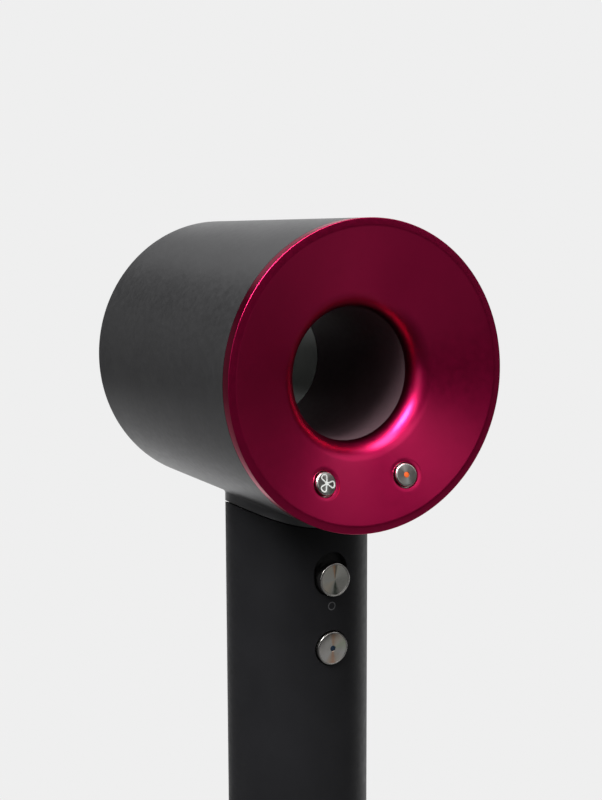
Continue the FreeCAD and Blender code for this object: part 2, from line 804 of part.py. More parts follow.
def handle_switches():
    """Circuit board in the handle with the slide switch and the cold-shot switch."""
    back = -size("switch_board_back")
    node("switch_board", block("switch_board", ("16", "1.2", "36"), Vector(-8, back - 1.2, 124)))
    slide = Vector(-4.5, back - 4.2, size("slider_height") - 4)
    node("power_switch", block("power_switch", ("9", "3", "12"), slide))
    cold = Vector(-3, back - 3.5, size("cold_height") - 3)
    node("cold_switch", block("cold_switch", ("6", "2.3", "6"), cold))


# Air path and motor in the handle ------------------------------------------------------------------------
def lead_notches(name, base, length, room="0.5"):
    """Cutter for the two mains leads that pass a ring."""
    lane = size("lead_ring")
    rods = [rod(f"{name}_{side + 2}", f"lead_radius + {room}", length, Vector(side * lane, 0, base))
            for side in (-1, 1)]
    return joined(name, rods)


def air_duct():
    """Tube from the motor to the neck, on a plate that closes the grip around it."""
    shift = Vector(0, size("core_shift"), 0)
    base = Vector(0, 0, size("core_base"))
    plate = rod("duct_plate", f"{GRIP_BORE} - 0.1", "1.6", base)
    tube = rod("duct_outer", "core_outer", "core_top - core_base", base + shift)
    bore = rod("duct_bore", "core_inner", "core_top", shift)
    notches = lead_notches("duct_notches", size("core_base") - 2, "8")
    solid = joined("duct_solid", [plate, tube])
    node("air_duct", cut("air_duct", solid, joined("duct_cuts", [bore, notches])))


def acoustic_liner():
    """Foam sleeve that quiets the air duct."""
    shift = Vector(0, size("core_shift"), size("core_base") + 6)
    outer = rod("liner_outer", "core_inner - 0.05", "34", shift)
    inner = rod("liner_inner", "core_inner - 2.2", "40", shift - Z_AXIS * 3)
    node("acoustic_liner", cut("acoustic_liner", outer, inner))


def neck_gasket():
    """Seal between the grip, the collar and the air duct."""
    base = Vector(0, 0, size("gasket_base"))
    outer = rod("gasket_outer", f"{GRIP_BORE} - 0.1", "2", base)
    hole = rod("gasket_hole", "core_outer + 0.05", "8", base + Vector(0, size("core_shift"), -3))
    notches = lead_notches("gasket_notches", size("gasket_base") - 3, "8")
    node("neck_gasket", cut("neck_gasket", outer, joined("gasket_cuts", [hole, notches])))


def motor_bucket():
    """Tube that holds the motor, clear of the leads."""
    node("motor_bucket", turned("motor_bucket", [
        ("bucket_inner", "bucket_base"),
        ("bucket_outer", "bucket_base"),
        ("bucket_outer", "bucket_top"),
        ("bucket_inner", "bucket_top"),
    ]))


def motor_mounts():
    """Rubber rings: the lower one is also the bell mouth, the upper one centres the shroud."""
    bell = turned("bell_ring", [
        ("bell_bore", "bell_base + 6.6"),
        ("bell_bore", "bell_base + bell_round"),
        ("bell_bore + bell_round", "bell_base", "bell_round"),
        (f"{GRIP_BORE} - 0.1", "bell_base"),
        (f"{GRIP_BORE} - 0.1", "bucket_base - 0.1"),
        ("bucket_inner - 0.1", "bucket_base - 0.1"),
        ("bucket_inner - 0.1", "shroud_base + 2"),
        ("shroud_outer + 0.1", "shroud_base + 2"),
        ("shroud_outer + 0.1", "shroud_base - 0.1"),
        ("shroud_inner", "shroud_base - 0.1"),
    ])
    notches = lead_notches("bell_notches", size("bell_base") - 3, "7", "0.9")
    node("lower_motor_mount", cut("lower_motor_mount", bell, notches))
    node("upper_motor_mount", turned("upper_motor_mount", [
        ("shroud_outer + 0.1", "shroud_top - 6"),
        ("bucket_inner - 0.1", "shroud_top - 6"),
        ("bucket_inner - 0.1", "shroud_top"),
        ("shroud_outer + 0.1", "shroud_top"),
    ]))


def motor_shroud():
    node("motor_shroud", turned("motor_shroud", [
        ("shroud_inner", "shroud_base"),
        ("shroud_outer", "shroud_base"),
        ("shroud_outer", "shroud_top"),
        ("shroud_inner", "shroud_top"),
    ]))


def motor_frame():
    """Motor body with a bearing seat and a ring of diffuser vanes."""
    body = turned("motor_frame", [
        ("bearing_outer + 0.01", "frame_base"),
        ("frame_outer", "frame_base"),
        ("frame_outer", "frame_top"),
        ("frame_inner", "frame_top"),
        ("frame_inner", "frame_base + bearing_width + 0.4"),
        ("bearing_outer + 0.01", "frame_base + bearing_width + 0.4"),
    ])
    sketch = attached_sketch(body, "XY_Plane", "vane_sketch", size("frame_base + vane_start"))
    outline(sketch, [
        ("frame_outer - 0.4", "-vane_sheet / 2"),
        ("shroud_inner - 0.05", "-vane_sheet / 2"),
        ("shroud_inner - 0.05", "vane_sheet / 2"),
        ("frame_outer - 0.4", "vane_sheet / 2"),
    ])
    vane = body.newObject("PartDesign::Pad", "vane")
    vane.Profile = sketch
    vane.setExpression("Length", formula("vane_height"))
    doc.recompute()
    around(body, vane, "Z_Axis", VANES)
    node("motor_frame", body)


UPPER_BEARING = "(stator_base + stator_height + 2)"
LOWER_BEARING = "(frame_base + 0.2)"


def bearing_bridge():
    """Disc that seats the upper bearing in the motor frame."""
    node("bearing_bridge", turned("bearing_bridge", [
        ("bearing_outer + 0.01", f"{UPPER_BEARING} - 0.2"),
        ("frame_inner - 0.02", f"{UPPER_BEARING} - 0.2"),
        ("frame_inner - 0.02", f"{UPPER_BEARING} + bearing_width"),
        ("bearing_outer + 0.01", f"{UPPER_BEARING} + bearing_width"),
    ]))


def bearings():
    """Two small ball bearings, each kind of ring and the balls as one group."""
    width = size("bearing_width")
    outer = size("bearing_outer")
    shaft = size("shaft_radius")
    wall = size("race_wall")
    inner = shaft + wall - 0.1
    track = (outer - wall + inner) / 2
    outers = []
    inners = []
    balls = []
    for text in (LOWER_BEARING, UPPER_BEARING):
        base = Vector(0, 0, size(text))
        outers.append(Part.makeCylinder(outer, width, base).cut(Part.makeCylinder(outer - wall, width, base)))
        inners.append(Part.makeCylinder(inner, width, base).cut(Part.makeCylinder(shaft, width, base)))
        for index in range(BALLS):
            angle = 2 * math.pi * index / BALLS
            spot = base + Vector(track * math.cos(angle), track * math.sin(angle), width / 2)
            balls.append(Part.makeSphere(size("ball_radius"), spot))
    group("bearing_outer_rings", outers)
    group("bearing_inner_rings", inners)
    group("bearing_balls", balls)


def stator():
    """Laminated stator with six teeth, and a winding round each tooth."""
    body = turned("stator_core", [
        ("frame_inner - 1.1", "stator_base"),
        ("frame_inner - 0.02", "stator_base"),
        ("frame_inner - 0.02", "stator_base + stator_height"),
        ("frame_inner - 1.1", "stator_base + stator_height"),
    ])
    sketch = attached_sketch(body, "XY_Plane", "tooth_sketch", size("stator_base"))
    outline(sketch, [
        ("stator_bore", "-tooth_width / 2"),
        ("frame_inner - 0.9", "-tooth_width / 2"),
        ("frame_inner - 0.9", "tooth_width / 2"),
        ("stator_bore", "tooth_width / 2"),
    ])
    tooth = body.newObject("PartDesign::Pad", "tooth")
    tooth.Profile = sketch
    tooth.setExpression("Length", formula("stator_height"))
    doc.recompute()
    around(body, tooth, "Z_Axis", TEETH)
    node("stator_core", body)
    tall = size("stator_height")
    coils = []
    for index in range(TEETH):
        coil = Part.makeBox(1.2, 2.6, tall + 1.6, Vector(4.2, -1.3, size("stator_base") - 0.8))
        hole = Part.makeBox(2.0, 1.5, tall + 0.1, Vector(4.0, -0.75, size("stator_base") - 0.05))
        coil = coil.cut(hole)
        coil.rotate(Vector(), Z_AXIS, 360 * index / TEETH)
        coils.append(coil)
    group("windings", coils)


def rotor():
    """Shaft, magnet and mixed-flow impeller."""
    foot = size("fan_base") + 0.4
    node("motor_shaft", rod("motor_shaft", "shaft_radius", "32", Vector(0, 0, foot)))
    node("rotor_magnet", turned("rotor_magnet", [
        ("shaft_radius", "stator_base - 0.4"),
        ("magnet_radius", "stator_base - 0.4"),
        ("magnet_radius", "stator_base + stator_height + 0.4"),
        ("shaft_radius", "stator_base + stator_height + 0.4"),
    ]))


def impeller():
    base = size("fan_base")
    tall = size("fan_height")
    foot = size("hub_base_radius")
    top = size("hub_top_radius")
    tip = size("fan_radius")
    profile = Part.Wire([
        Part.LineSegment(Vector(0, 0, base), Vector(foot, 0, base)).toShape(),
        Part.Arc(Vector(foot, 0, base), Vector((foot + top) / 2 - 0.5, 0, base + tall * 0.55),
                 Vector(top, 0, base + tall)).toShape(),
        Part.LineSegment(Vector(top, 0, base + tall), Vector(0, 0, base + tall)).toShape(),
        Part.LineSegment(Vector(0, 0, base + tall), Vector(0, 0, base)).toShape(),
    ])
    hub = Part.Face(profile).revolve(Vector(), Z_AXIS, 360)
    blades = []
    for index in range(BLADES):
        sections = []
        for step in range(4):
            level = base + 0.6 + (tall - 1.2) * step / 3
            turn = Rotation(Z_AXIS, 360 * index / BLADES + 16 * step)
            root = foot * 0.6 + (top - foot) * 0.6 * step / 3
            corners = [Vector(root, -0.3, level), Vector(tip, -0.3, level),
                       Vector(tip, 0.3, level), Vector(root, 0.3, level)]
            corners = [turn.multVec(corner) for corner in corners]
            sections.append(Part.makePolygon(corners + corners[:1]))
        blades.append(Part.makeLoft(sections, True, False))
    bore = Part.makeCylinder(size("shaft_radius"), tall, Vector(0, 0, base + 0.4))
    item = doc.addObject("Part::Feature", "impeller")
    item.Shape = hub.multiFuse(blades).cut(bore)
    node("impeller", item)


def motor_board():
    """Drive electronics on the motor's upper end."""
    disc = rod("motor_disc", "frame_outer + 1", "1.2", Vector(0, 0, size("frame_top") + 0.1))
    bore = rod("motor_disc_bore", "2.4", "6", Vector(0, 0, size("frame_top") - 2))
    ring_board = cut("motor_disc_cut", disc, bore)
    chips = []
    for index in range(3):
        angle = 2 * math.pi * index / 3
        corner = Vector(5.4 * math.cos(angle) - 1.4, 5.4 * math.sin(angle) - 1.4, size("frame_top") + 1.2)
        chips.append(block(f"motor_chip_{index}", ("2.8", "2.8", "1.2"), corner))
    node("motor_board", joined("motor_board", [ring_board] + chips))


# Intake end -------------------------------------------------------------------------------------------
def filter_cage():
    """Removable perforated sleeve with a foot flange; it pulls down off the intake."""
    sleeve = turned("cage_sleeve", [
        ("cage_flange", "0"),
        ("grip_radius - 0.8", "0"),
        ("grip_radius", "0.8", "0.8"),
        ("grip_radius", "cage_height"),
        ("grip_radius - cage_wall", "cage_height"),
        ("grip_radius - cage_wall", "1.6"),
        ("cage_flange", "1.6"),
    ])
    start = size("grip_radius - 2 * cage_wall")
    drills = []
    for row in range(CAGE_ROWS):
        for column in range(CAGE_COLUMNS):
            angle = 2 * math.pi * (column + row % 2 / 2) / CAGE_COLUMNS
            outward = Vector(math.cos(angle), math.sin(angle), 0)
            base = outward * start + Z_AXIS * (size("cage_first_row") + size("cage_row_pitch") * row)
            drills.append(Part.makeCylinder(size("cage_hole"), size("3 * cage_wall"), base, outward))
    holes = doc.addObject("Part::Feature", "cage_holes")
    holes.Shape = Part.makeCompound(drills)
    node("filter_cage", cut("filter_cage", sleeve, holes))


def filter_core():
    """Open frame inside the cage that carries the mesh and the gland."""
    body = turned("filter_core", [
        ("gland_bore + 2.1", "core_floor"),
        ("core_radius", "core_floor"),
        ("core_radius", "core_rim"),
        ("core_radius - core_wall", "core_rim"),
        ("core_radius - core_wall", "core_floor + 1.2"),
        ("gland_bore + 2.1", "core_floor + 1.2"),
    ])

    def draw(sketch):
        for index in range(3):
            low = 6.4 + 10.8 * index
            outline(sketch, [("-3", str(low)), ("3", str(low)), ("3", str(low + 9)), ("-3", str(low + 9))])

    window = pocketed(body, "XZ_Plane", draw, "core_radius + 1")
    around(body, window, "Z_Axis", 12)
    node("filter_core", body)


def filter_mesh():
    """Fine mesh sleeve over the core."""
    node("filter_mesh", turned("filter_mesh", [
        ("core_radius + 0.05", "5"),
        ("core_radius + 0.4", "5"),
        ("core_radius + 0.4", "core_rim - 0.6"),
        ("core_radius + 0.05", "core_rim - 0.6"),
    ]))


def cord_gland():
    """Bottom cap with the lead's bore."""
    node("cord_gland", turned("cord_gland", [
        ("gland_bore", "0"),
        ("cage_flange - 0.4", "0"),
        ("cage_flange - 0.4", "core_floor - 0.05"),
        ("gland_bore + 2.0", "core_floor - 0.05"),
        ("gland_bore + 2.0", "gland_height"),
        ("gland_bore", "gland_height"),
    ]))


def terminal_block():
    node("terminal_block", block("terminal_block", ("14", "8", "7"), Vector(-7, -4, 10.4)))


def rounded_route(points, radius):
    """Straight runs joined by tangent arcs."""
    edges = []
    start = points[0]
    for before, corner, after in zip(points, points[1:], points[2:]):
        back = (before - corner).normalize()
        ahead = (after - corner).normalize()
        half = back.getAngle(ahead) / 2
        reach = radius / math.tan(half)
        first = corner + back * reach
        last = corner + ahead * reach
        bisector = (back + ahead).normalize()
        middle = corner + bisector * (radius / math.sin(half) - radius)
        edges.append(Part.LineSegment(start, first).toShape())
        edges.append(Part.Arc(first, middle, last).toShape())
        start = last
    edges.append(Part.LineSegment(start, points[-1]).toShape())
    return Part.Wire(edges)


def mains_leads():
    """Two insulated leads from the terminal block, past the motor, to the board in the head."""
    lane = size("lead_ring")
    height = size("head_height")
    gallery = height - math.sqrt(size("lead_gallery") ** 2 - lane ** 2)
    board = -size("board_rear - board_sheet") + 0.3
    leads = []
    for side in (-1, 1):
        points = [Vector(side * 4, 0, 17.5), Vector(side * 4, 0, 23), Vector(side * 13.2, 0, 30),
                  Vector(side * 13.2, 0, 38), Vector(side * lane, 0, 44), Vector(side * lane, 0, gallery),
                  Vector(side * lane, -17, gallery), Vector(side * 13, -21, height - 27),
                  Vector(side * 13, board, height - 27)]
        path = rounded_route(points, 2.0)
        section = Part.Wire([Part.Circle(points[0], Z_AXIS, size("lead_radius")).toShape()])
        leads.append(path.makePipeShell([section], True, False))
    group("mains_leads", leads)


# Build -----------------------------------------------------------------------------------------------
head_casing()
rear_cover()
duct_tube()
nozzle_inner_ring()
nozzle_outer_ring()
heat_shields()
heater_frame()
heater_coils()
heater_sensors()
control_board()
board_parts()
board_screws()
switch_carrier()
head_switches()
ion_parts()
attachment_magnets()
head_button(-1, "speed_button", False)
head_button(1, "heat_button", True)
handle_shell()
power_slider()
slider_plate()
cold_shot_button()
handle_switches()
air_duct()
acoustic_liner()
neck_gasket()
motor_bucket()
motor_mounts()
motor_shroud()
motor_frame()
bearing_bridge()
bearings()
stator()
rotor()
impeller()
motor_board()
filter_cage()
filter_core()
filter_mesh()
cord_gland()
terminal_block()
mains_leads()

doc.recompute()
for item in doc.Objects:
    if "Invalid" in item.State or "Error" in item.State:
        raise RuntimeError(f"{item.Label} failed: {item.State}")
for name, item in NODES.items():
    if item.Shape.isNull() or not item.Shape.isValid() or not item.Shape.Solids:
        raise RuntimeError(name + " has no valid solid")
    item.Shape.exportStep(f"parts/{name}.step")
print(len(NODES), "pieces written")
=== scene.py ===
"""Hair dryer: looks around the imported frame. Metres, in the frame's own axes."""
import json
import math

import bmesh
import bpy
from mathutils import Matrix, Vector


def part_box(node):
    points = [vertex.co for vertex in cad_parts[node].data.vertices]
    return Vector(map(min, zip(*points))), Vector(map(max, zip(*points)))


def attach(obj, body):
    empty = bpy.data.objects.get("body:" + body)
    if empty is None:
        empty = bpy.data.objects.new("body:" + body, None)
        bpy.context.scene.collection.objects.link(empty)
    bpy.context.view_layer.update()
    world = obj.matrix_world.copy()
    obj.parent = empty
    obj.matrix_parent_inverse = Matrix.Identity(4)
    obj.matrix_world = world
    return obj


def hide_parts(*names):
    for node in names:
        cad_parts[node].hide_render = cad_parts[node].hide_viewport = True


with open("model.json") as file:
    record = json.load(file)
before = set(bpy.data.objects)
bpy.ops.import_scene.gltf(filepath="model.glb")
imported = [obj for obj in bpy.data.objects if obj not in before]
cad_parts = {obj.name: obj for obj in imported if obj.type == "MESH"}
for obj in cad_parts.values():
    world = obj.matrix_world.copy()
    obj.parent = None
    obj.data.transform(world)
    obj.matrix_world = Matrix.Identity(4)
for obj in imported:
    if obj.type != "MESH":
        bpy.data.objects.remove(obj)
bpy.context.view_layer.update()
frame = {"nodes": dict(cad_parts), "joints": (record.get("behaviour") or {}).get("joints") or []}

MM = 0.001
NODES = frame["nodes"]
JOINTS = {joint["name"]: joint for joint in frame["joints"]}
scene = bpy.context.scene
scene.view_settings.view_transform = "Standard"
scene.view_settings.look = "None"


# Places taken from the frame -------------------------------------------------------------------
def middle(node):
    """Centre of a CAD node's box."""
    low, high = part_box(node)
    return (low + high) / 2


HEAD_Z = middle("duct_tube").z
HEAD_RADIUS = (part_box("head_casing")[1].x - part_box("head_casing")[0].x) / 2
GRIP_RADIUS = (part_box("handle_shell")[1].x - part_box("handle_shell")[0].x) / 2


# Materials -------------------------------------------------------------------------------------
BROAD = 0.09        # noise scales, in cycles per millimetre
PATCHY = 0.6
PAINT_GRAIN = 14.0
COVER = (0.62, 0.0085, 0.098)
CASING = (0.2, 0.2, 0.206)


class Look:
    """A node material under construction, with the object's own coordinates in millimetres."""

    def __init__(self, name, colour, metallic=0.0, roughness=0.5, **sockets):
        self.material = bpy.data.materials.new(name)
        self.material.use_nodes = True
        self.material.diffuse_color = (*colour, 1)
        self.tree = self.material.node_tree
        self.shader = self.tree.nodes["Principled BSDF"]
        self.shader.inputs["Base Color"].default_value = (*colour, 1)
        self.shader.inputs["Metallic"].default_value = metallic
        self.shader.inputs["Roughness"].default_value = roughness
        for socket, value in sockets.items():
            self.shader.inputs[socket.replace("_", " ")].default_value = value
        coordinates = self.add("ShaderNodeTexCoord")
        scale = self.add("ShaderNodeMapping")
        scale.inputs["Scale"].default_value = (1 / MM, 1 / MM, 1 / MM)
        self.link(coordinates.outputs["Object"], scale.inputs["Vector"])
        self.place = scale.outputs["Vector"]

    def add(self, kind, **settings):
        made = self.tree.nodes.new(kind)
        for key, value in settings.items():
            setattr(made, key, value)
        return made

    def link(self, source, target):
        self.tree.links.new(source, target)

    def stretched(self, x, y, z):
        """The same coordinates, scaled along each axis."""
        scale = self.add("ShaderNodeMapping")
        scale.inputs["Scale"].default_value = (x, y, z)
        self.link(self.place, scale.inputs["Vector"])
        return scale.outputs["Vector"]

    def noise(self, scale, detail=3.0):
        """Smooth noise, with scale in cycles per millimetre."""
        made = self.add("ShaderNodeTexNoise")
        made.inputs["Scale"].default_value = scale
        made.inputs["Detail"].default_value = detail
        self.link(self.place, made.inputs["Vector"])
        return made.outputs["Fac"]

    def spread(self, factor, low, high, start=0.3, end=0.7):
        """Map factor from start..end to low..high."""
        made = self.add("ShaderNodeMapRange")
        made.inputs["From Min"].default_value = start
        made.inputs["From Max"].default_value = end
        made.inputs["To Min"].default_value = low
        made.inputs["To Max"].default_value = high
        self.link(factor, made.inputs["Value"])
        return made.outputs["Result"]

    def mix(self, factor, first, second):
        """Blend two colours, each a plain colour or a node's output."""
        made = self.add("ShaderNodeMix", data_type="RGBA")
        self.link(factor, made.inputs["Factor"])
        for socket, value in ((made.inputs["A"], first), (made.inputs["B"], second)):
            if isinstance(value, tuple):
                socket.default_value = (*value, 1)
            else:
                self.link(value, socket)
        return made.outputs["Result"]

    def mottle(self, colour, change):
        """The colour, broadly and slightly uneven."""
        patches = self.spread(self.noise(BROAD), 0, 1)
        return self.mix(patches, shade(colour, 1 - change), shade(colour, 1 + change))

    def vary_roughness(self, low, high):
        self.link(self.spread(self.noise(PATCHY), low, high), self.shader.inputs["Roughness"])

    def bump(self, height, strength, distance=0.00004):
        made = self.add("ShaderNodeBump")
        made.inputs["Strength"].default_value = strength
        made.inputs["Distance"].default_value = distance
        self.link(height, made.inputs["Height"])
        self.link(made.outputs["Normal"], self.shader.inputs["Normal"])


def shade(colour, factor):
    """The colour, lighter or darker by a factor."""
    return tuple(min(part * factor, 1.0) for part in colour)


def moulded(name, colour, roughness=0.5, metallic=0.0, grain=9.0, strength=0.12, change=0.12, **sockets):
    """Fine-grained plastic, paint or cast metal."""
    look = Look(name, colour, metallic, roughness, **sockets)
    look.link(look.mottle(colour, change), look.shader.inputs["Base Color"])
    look.vary_roughness(roughness * 0.92, min(roughness * 1.08, 1))
    look.bump(look.noise(grain, 2.0), strength)
    return look.material


def dress(material, *names):
    """Give CAD nodes a material."""
    for name in names:
        data = NODES[name].data
        data.materials.clear()
        data.materials.append(material)
        for face in data.polygons:
            face.use_smooth = True


def spun(name, base, painted_reflections, roughness=0.3):
    """Turned metal face: fine concentric lines, and painted reflections in soft bands that fan out from the
    centre.
    """
    look = Look(name, base, 1.0, roughness, Anisotropic=0.6)
    turn = look.add("ShaderNodeTexGradient", gradient_type="RADIAL")
    look.link(look.place, turn.inputs["Vector"])
    ramp = look.add("ShaderNodeValToRGB")
    stops = ramp.color_ramp.elements
    stops[0].position = painted_reflections[0][0]
    stops[0].color = (*painted_reflections[0][1], 1)
    stops[1].position = painted_reflections[-1][0]
    stops[1].color = (*painted_reflections[-1][1], 1)
    for position, colour in painted_reflections[1:-1]:
        stop = stops.new(position)
        stop.color = (*colour, 1)
    look.link(turn.outputs["Fac"], ramp.inputs["Fac"])
    # Painted reflections: the base colour follows the ramp's colours round the face, blended by up to 0.35
    # towards the plain metal.
    tone = look.mix(look.spread(look.noise(1.3), 0, 0.35), ramp.outputs["Color"], base)
    look.link(tone, look.shader.inputs["Base Color"])
    lines = look.add("ShaderNodeTexWave", wave_type="RINGS", rings_direction="Z")
    lines.inputs["Scale"].default_value = 3.2
    lines.inputs["Distortion"].default_value = 0.4
    look.link(look.place, lines.inputs["Vector"])
    look.bump(lines.outputs["Fac"], 0.12, 0.00003)
    around = look.add("ShaderNodeTangent", direction_type="RADIAL", axis="Z")
    look.link(around.outputs["Tangent"], look.shader.inputs["Tangent"])
    return look.material


def cover_look():
    """Anodised magenta, with painted shade that darkens it where the bell mouth turns into the duct."""
    look = Look("cover_paint", COVER, 1.0, 0.33, Coat_Weight=0.22, Coat_Roughness=0.22)
    flat = look.stretched(1, 1, 0)
    reach = look.add("ShaderNodeVectorMath", operation="LENGTH")
    look.link(flat, reach.inputs[0])
    # Painted shade: inside 17.6 mm of the drum's axis the base colour falls towards 0.16 of the magenta,
    # darkest at 16.95 mm.
    clear_of_painted_bore_shade = look.spread(reach.outputs["Value"], 0, 1, 16.95, 17.6)
    tone = look.mix(clear_of_painted_bore_shade, shade(COVER, 0.16), look.mottle(COVER, 0.04))
    look.link(tone, look.shader.inputs["Base Color"])
    look.vary_roughness(0.31, 0.35)
    look.bump(look.noise(PAINT_GRAIN, 2.0), 0.08)
    return look.material


def casing_look():
    """Satin grey paint with a metal pigment."""
    look = Look("casing_paint", CASING, 0.93, 0.42)
    look.link(look.mottle(CASING, 0.04), look.shader.inputs["Base Color"])
    look.vary_roughness(0.39, 0.45)
    look.bump(look.noise(PAINT_GRAIN, 2.0), 0.1)
    return look.material


cover_paint = cover_look()
casing_paint = casing_look()
grip_rubber = moulded("grip_black", (0.0165, 0.0165, 0.0185), 0.5, 0.0, grain=11, strength=0.2, change=0.1,
                      IOR=1.34)
# Dark grey duct. Its pink tint is a painted reflection of the magenta cover.
duct_grey_with_painted_pink = moulded("duct_grey", (0.09, 0.054, 0.063), 0.6, 0.0, change=0.08, IOR=1.27)
nozzle_paint = moulded("nozzle_grey", (0.36, 0.38, 0.365), 0.4, 0.3, change=0.06, IOR=1.4)
plate_black = moulded("plate_black", (0.006, 0.006, 0.006), 0.6)
button_alloy = moulded("button_metal", (0.62, 0.6, 0.57), 0.28, 1.0, grain=20, strength=0.05)
# The painted reflections on each spun face, as a share of the turn round it and a colour.
slider_metal = spun("slider_metal", (0.8, 0.8, 0.74), (
    (0.0, (0.832, 0.816, 0.752)), (0.12, (0.88, 0.784, 0.64)), (0.2, (0.672, 0.656, 0.592)),
    (0.24, (0.032, 0.056, 0.04)), (0.27, (0.08, 0.112, 0.08)), (0.32, (0.608, 0.592, 0.544)),
    (0.5, (0.576, 0.576, 0.528)), (0.66, (0.88, 0.864, 0.8)), (0.71, (0.95, 0.928, 0.8)),
    (0.735, (0.16, 0.144, 0.112)), (0.76, (0.8, 0.432, 0.208)), (0.8, (0.832, 0.8, 0.704)),
    (1.0, (0.832, 0.816, 0.752))))
cold_metal = spun("cold_metal", (0.9, 0.88, 0.84), (
    (0.0, (0.93, 0.899, 0.853)), (0.14, (0.95, 0.93, 0.899)), (0.2, (0.93, 0.744, 0.589)),
    (0.25, (0.95, 0.512, 0.31)), (0.3, (0.899, 0.822, 0.713)), (0.42, (0.93, 0.914, 0.883)),
    (0.55, (0.775, 0.853, 0.651)), (0.62, (0.95, 0.899, 0.775)), (0.7, (0.93, 0.775, 0.62)),
    (0.75, (0.93, 0.589, 0.372)), (0.8, (0.95, 0.93, 0.868)), (1.0, (0.93, 0.899, 0.853))))
key_metal = spun("key_metal", (0.3, 0.29, 0.28), (
    (0.0, (0.2, 0.19, 0.18)), (0.12, (0.3, 0.28, 0.26)), (0.25, (0.5, 0.52, 0.5)),
    (0.33, (0.25, 0.24, 0.22)), (0.5, (0.16, 0.15, 0.14)), (0.66, (0.22, 0.2, 0.19)),
    (0.77, (0.6, 0.58, 0.54)), (0.86, (0.25, 0.23, 0.22)), (1.0, (0.2, 0.19, 0.18))))
edge_metal = moulded("edge_metal", (0.66, 0.64, 0.61), 0.22, 1.0, grain=20, strength=0.04)
mark_print = moulded("mark_print", (0.13, 0.13, 0.135), 0.5)
icon_print = moulded("icon_print", (0.8, 0.82, 0.79), 0.4, 0.2)
dot_orange = moulded("heat_orange", (0.75, 0.12, 0.02), 0.3)
dot_blue = moulded("cold_blue", (0.012, 0.035, 0.07), 0.3)
mica = moulded("mica", (0.45, 0.4, 0.3), 0.5)
heater_alloy = moulded("heater_alloy", (0.45, 0.42, 0.38), 0.35, 1.0)
board = moulded("board_green", (0.02, 0.12, 0.05), 0.35)
black_part = moulded("component_black", (0.02, 0.02, 0.022), 0.5)
steel = moulded("screw_steel", (0.6, 0.6, 0.62), 0.3, 1.0)
magnet = moulded("magnet_dark", (0.3, 0.3, 0.32), 0.3, 1.0)
rubber = moulded("rubber_black", (0.02, 0.02, 0.02), 0.7)
foam = moulded("foam_grey", (0.12, 0.12, 0.13), 0.95, grain=3, strength=0.8)
alloy = moulded("motor_alloy", (0.55, 0.56, 0.58), 0.38, 1.0)
lamination = moulded("stator_steel", (0.35, 0.35, 0.37), 0.4, 1.0)
copper = moulded("copper", (0.65, 0.26, 0.1), 0.3, 1.0)
ground = moulded("bearing_steel", (0.7, 0.7, 0.72), 0.15, 1.0)
mesh_wire = moulded("mesh_steel", (0.3, 0.3, 0.31), 0.45, 1.0)
insulation = moulded("lead_white", (0.7, 0.7, 0.67), 0.5)

dress(cover_paint, "rear_cover")
dress(casing_paint, "head_casing")
dress(grip_rubber, "handle_shell", "filter_cage")
dress(duct_grey_with_painted_pink, "duct_tube")
dress(nozzle_paint, "nozzle_inner_ring", "nozzle_outer_ring")
dress(plate_black, "slider_plate", "cord_gland", "filter_core", "switch_carrier", "air_duct")
dress(button_alloy, "speed_button", "heat_button", "power_slider", "cold_shot_button")
dress(dot_orange, "heat_dot")
dress(dot_blue, "cold_dot")
dress(mica, "inner_heat_shield", "outer_heat_shield", "heater_frame")
dress(heater_alloy, "heater_coil_1", "heater_coil_2", "heater_coil_3")
dress(board, "control_board", "switch_board", "motor_board")
dress(black_part, "board_parts", "thermal_cutoff", "thermistor", "ion_generator", "ion_emitter",
      "speed_switch", "heat_switch", "power_switch", "cold_switch", "terminal_block", "bearing_bridge")
dress(steel, "board_screws")
dress(magnet, "attachment_magnets", "rotor_magnet")
dress(rubber, "lower_motor_mount", "upper_motor_mount", "neck_gasket")
dress(foam, "acoustic_liner")
dress(alloy, "motor_shroud", "motor_frame", "impeller", "motor_bucket")
dress(lamination, "stator_core")
dress(copper, "windings")
dress(ground, "bearing_outer_rings", "bearing_inner_rings", "bearing_balls", "motor_shaft")
dress(mesh_wire, "filter_mesh")
dress(insulation, "mains_leads")


# Dense meshes ----------------------------------------------------------------------------------
HEAD_AXIS = Matrix.Translation((0, 0, HEAD_Z)) @ Matrix.Rotation(-math.pi / 2, 4, "X")


def arc(centre, radius, start, end, steps):
    """Points on an arc; angles in degrees, from the first coordinate's axis."""
    points = []
    for step in range(steps + 1):
        angle = math.radians(start + (end - start) * step / steps)
        points.append((centre[0] + radius * math.cos(angle), centre[1] + radius * math.sin(angle)))
    return points


def new_object(name, mesh):
    """Object in the scene that shows the mesh."""
    made = bpy.data.objects.new(name, mesh)
    scene.collection.objects.link(made)
    return made


def mesh_of(name, shape):
    """Turn a bmesh into a mesh with its faces pointing outwards."""
    mesh = bpy.data.meshes.new(name)
    bmesh.ops.recalc_face_normals(shape, faces=shape.faces)
    shape.to_mesh(mesh)
    shape.free()
    return mesh


